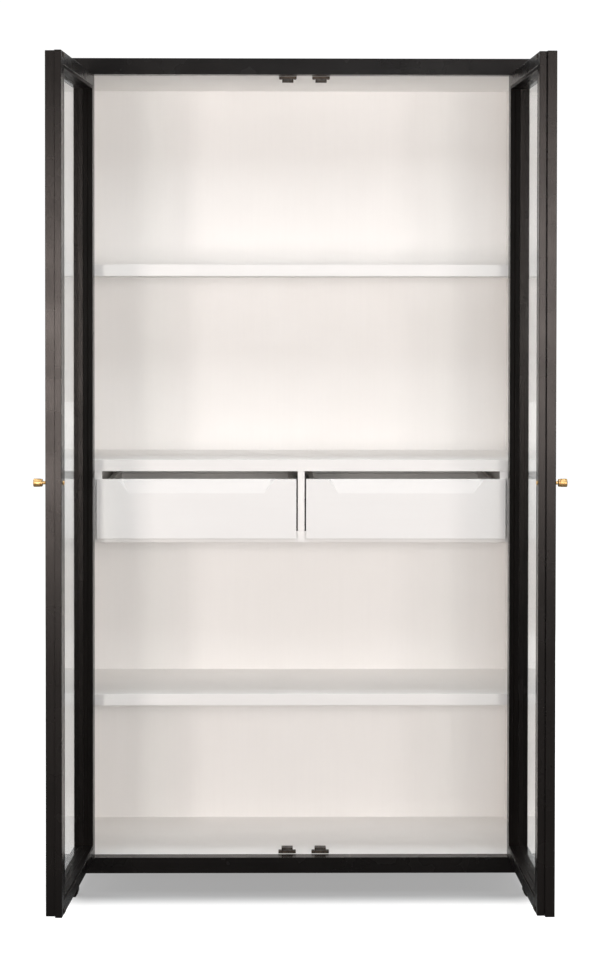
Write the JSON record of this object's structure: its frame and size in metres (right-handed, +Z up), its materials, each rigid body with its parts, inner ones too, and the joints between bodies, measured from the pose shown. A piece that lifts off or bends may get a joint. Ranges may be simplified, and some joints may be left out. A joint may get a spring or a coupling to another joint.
{
  "type": "apothecary cabinet",
  "caption": "Tall free-standing lacquered cabinet with rebated glass doors hung inside the case, fixed shelves, and drawers on telescopic runners.",
  "frame": {"origin": "on the floor, on the centre plane of the case, under the middle of the space taken with the doors standing open", "axes": "+X to the viewer's right when facing the open front, +Y from the front to the back, +Z up"},
  "size_m": [1.2669, 1.0701, 2.201],
  "materials": {
    "black_lacquer": "near-black satin lacquer over board",
    "white_lacquer": "warm white satin lacquer over board",
    "drawer_board": "pale matt board",
    "clear_glass": "clear float glass",
    "polished_brass": "polished",
    "hinge_brass": "aged, satin",
    "dark_bronze": "dark bronze plating",
    "magnet_steel": "zinc plated",
    "runner_steel": "black electrophoretic paint"
  },
  "bodies": {
    "cabinet": {"left_side_panel": "black_lacquer", "right_side_panel": "black_lacquer", "top_panel": "black_lacquer", "bottom_panel": "black_lacquer", "back_panel": "white_lacquer", "left_side_lining": "white_lacquer", "right_side_lining": "white_lacquer", "ceiling_lining": "white_lacquer", "floor_lining": "white_lacquer", "feet": "black_lacquer", "upper_shelf": "white_lacquer", "middle_shelf": "white_lacquer", "drawer_board": "white_lacquer", "lower_shelf": "white_lacquer", "drawer_divider": "white_lacquer", "runner_spacers": "white_lacquer", "magnetic_catches": "dark_bronze", "catch_magnets": "magnet_steel", "catch_screws": "dark_bronze", "fixed_runner_channels": "runner_steel", "frame_hinge_leaves": "hinge_brass", "hinge_pins": "hinge_brass", "frame_hinge_screws": "hinge_brass"},
    "left_door": {"left_door_hinge_stile": "black_lacquer", "left_door_meeting_stile": "black_lacquer", "left_door_top_rail": "black_lacquer", "left_door_bottom_rail": "black_lacquer", "left_door_glass": "clear_glass", "left_door_glazing_beads": "black_lacquer", "left_door_knob": "polished_brass", "left_door_knob_screw": "polished_brass", "left_door_hinge_leaves": "hinge_brass", "left_door_hinge_screws": "hinge_brass", "left_door_strike_plates": "dark_bronze"},
    "right_door": {"right_door_hinge_stile": "black_lacquer", "right_door_meeting_stile": "black_lacquer", "right_door_top_rail": "black_lacquer", "right_door_bottom_rail": "black_lacquer", "right_door_glass": "clear_glass", "right_door_glazing_beads": "black_lacquer", "right_door_knob": "polished_brass", "right_door_knob_screw": "polished_brass", "right_door_hinge_leaves": "hinge_brass", "right_door_hinge_screws": "hinge_brass", "right_door_strike_plates": "dark_bronze"},
    "left_runner_members": {"left_runner_middle_members": "runner_steel"},
    "left_drawer": {"left_drawer_front": "white_lacquer", "left_drawer_sides": "drawer_board", "left_drawer_back": "drawer_board", "left_drawer_bottom": "drawer_board", "left_drawer_runner_channels": "runner_steel"},
    "right_runner_members": {"right_runner_middle_members": "runner_steel"},
    "right_drawer": {"right_drawer_front": "white_lacquer", "right_drawer_sides": "drawer_board", "right_drawer_back": "drawer_board", "right_drawer_bottom": "drawer_board", "right_drawer_runner_channels": "runner_steel"}
  },
  "joints": [
    {"name": "left_door_hinge", "type": "hinge", "parent": "cabinet", "child": "left_door", "pos_m": [-0.5825, 0.0535, 1.1], "axis": [0, 0, -1], "range_deg": [-92.96, 77.04]},
    {"name": "right_door_hinge", "type": "hinge", "parent": "cabinet", "child": "right_door", "pos_m": [0.5825, 0.0535, 1.1], "axis": [0, 0, 1], "range_deg": [-91.41, 78.59]},
    {"name": "left_runner_slide", "type": "slide", "parent": "cabinet", "child": "left_runner_members", "axis": [0, -1, 0], "range_m": [0, 0.19]},
    {"name": "left_drawer_slide", "type": "slide", "parent": "left_runner_members", "child": "left_drawer", "axis": [0, -1, 0], "range_m": [0, 0.19]},
    {"name": "right_runner_slide", "type": "slide", "parent": "cabinet", "child": "right_runner_members", "axis": [0, -1, 0], "range_m": [0, 0.19]},
    {"name": "right_drawer_slide", "type": "slide", "parent": "right_runner_members", "child": "right_drawer", "axis": [0, -1, 0], "range_m": [0, 0.19]}
  ]
}
